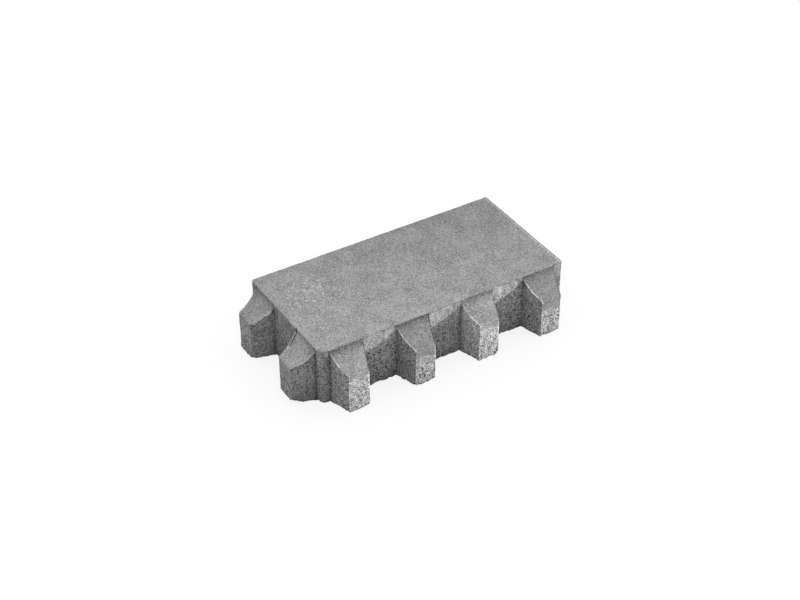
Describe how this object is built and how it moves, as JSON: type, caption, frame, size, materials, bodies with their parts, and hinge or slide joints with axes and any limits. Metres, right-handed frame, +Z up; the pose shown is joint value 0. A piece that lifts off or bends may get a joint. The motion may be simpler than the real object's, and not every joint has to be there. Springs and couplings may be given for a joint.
{
  "type": "permeable concrete paver",
  "caption": "Rectangular concrete paving block with tapered, slope-topped spacer lugs on one long side and one end, which hold open wide joints that drain rainwater.",
  "frame": {"origin": "centre of the plain block's underside, leaving the lugs out", "axes": "+X along the block's length away from the lugged end, +Y across it away from the lugged long side, +Z up out of the wearing face"},
  "size_m": [0.379, 0.2, 0.08],
  "materials": {
    "concrete": "raw pressed grey concrete: a fine sandy skin on the top and the lug slopes, coarse and pitted on the walls"
  },
  "bodies": {
    "root": {"paver": "concrete"}
  },
  "joints": []
}
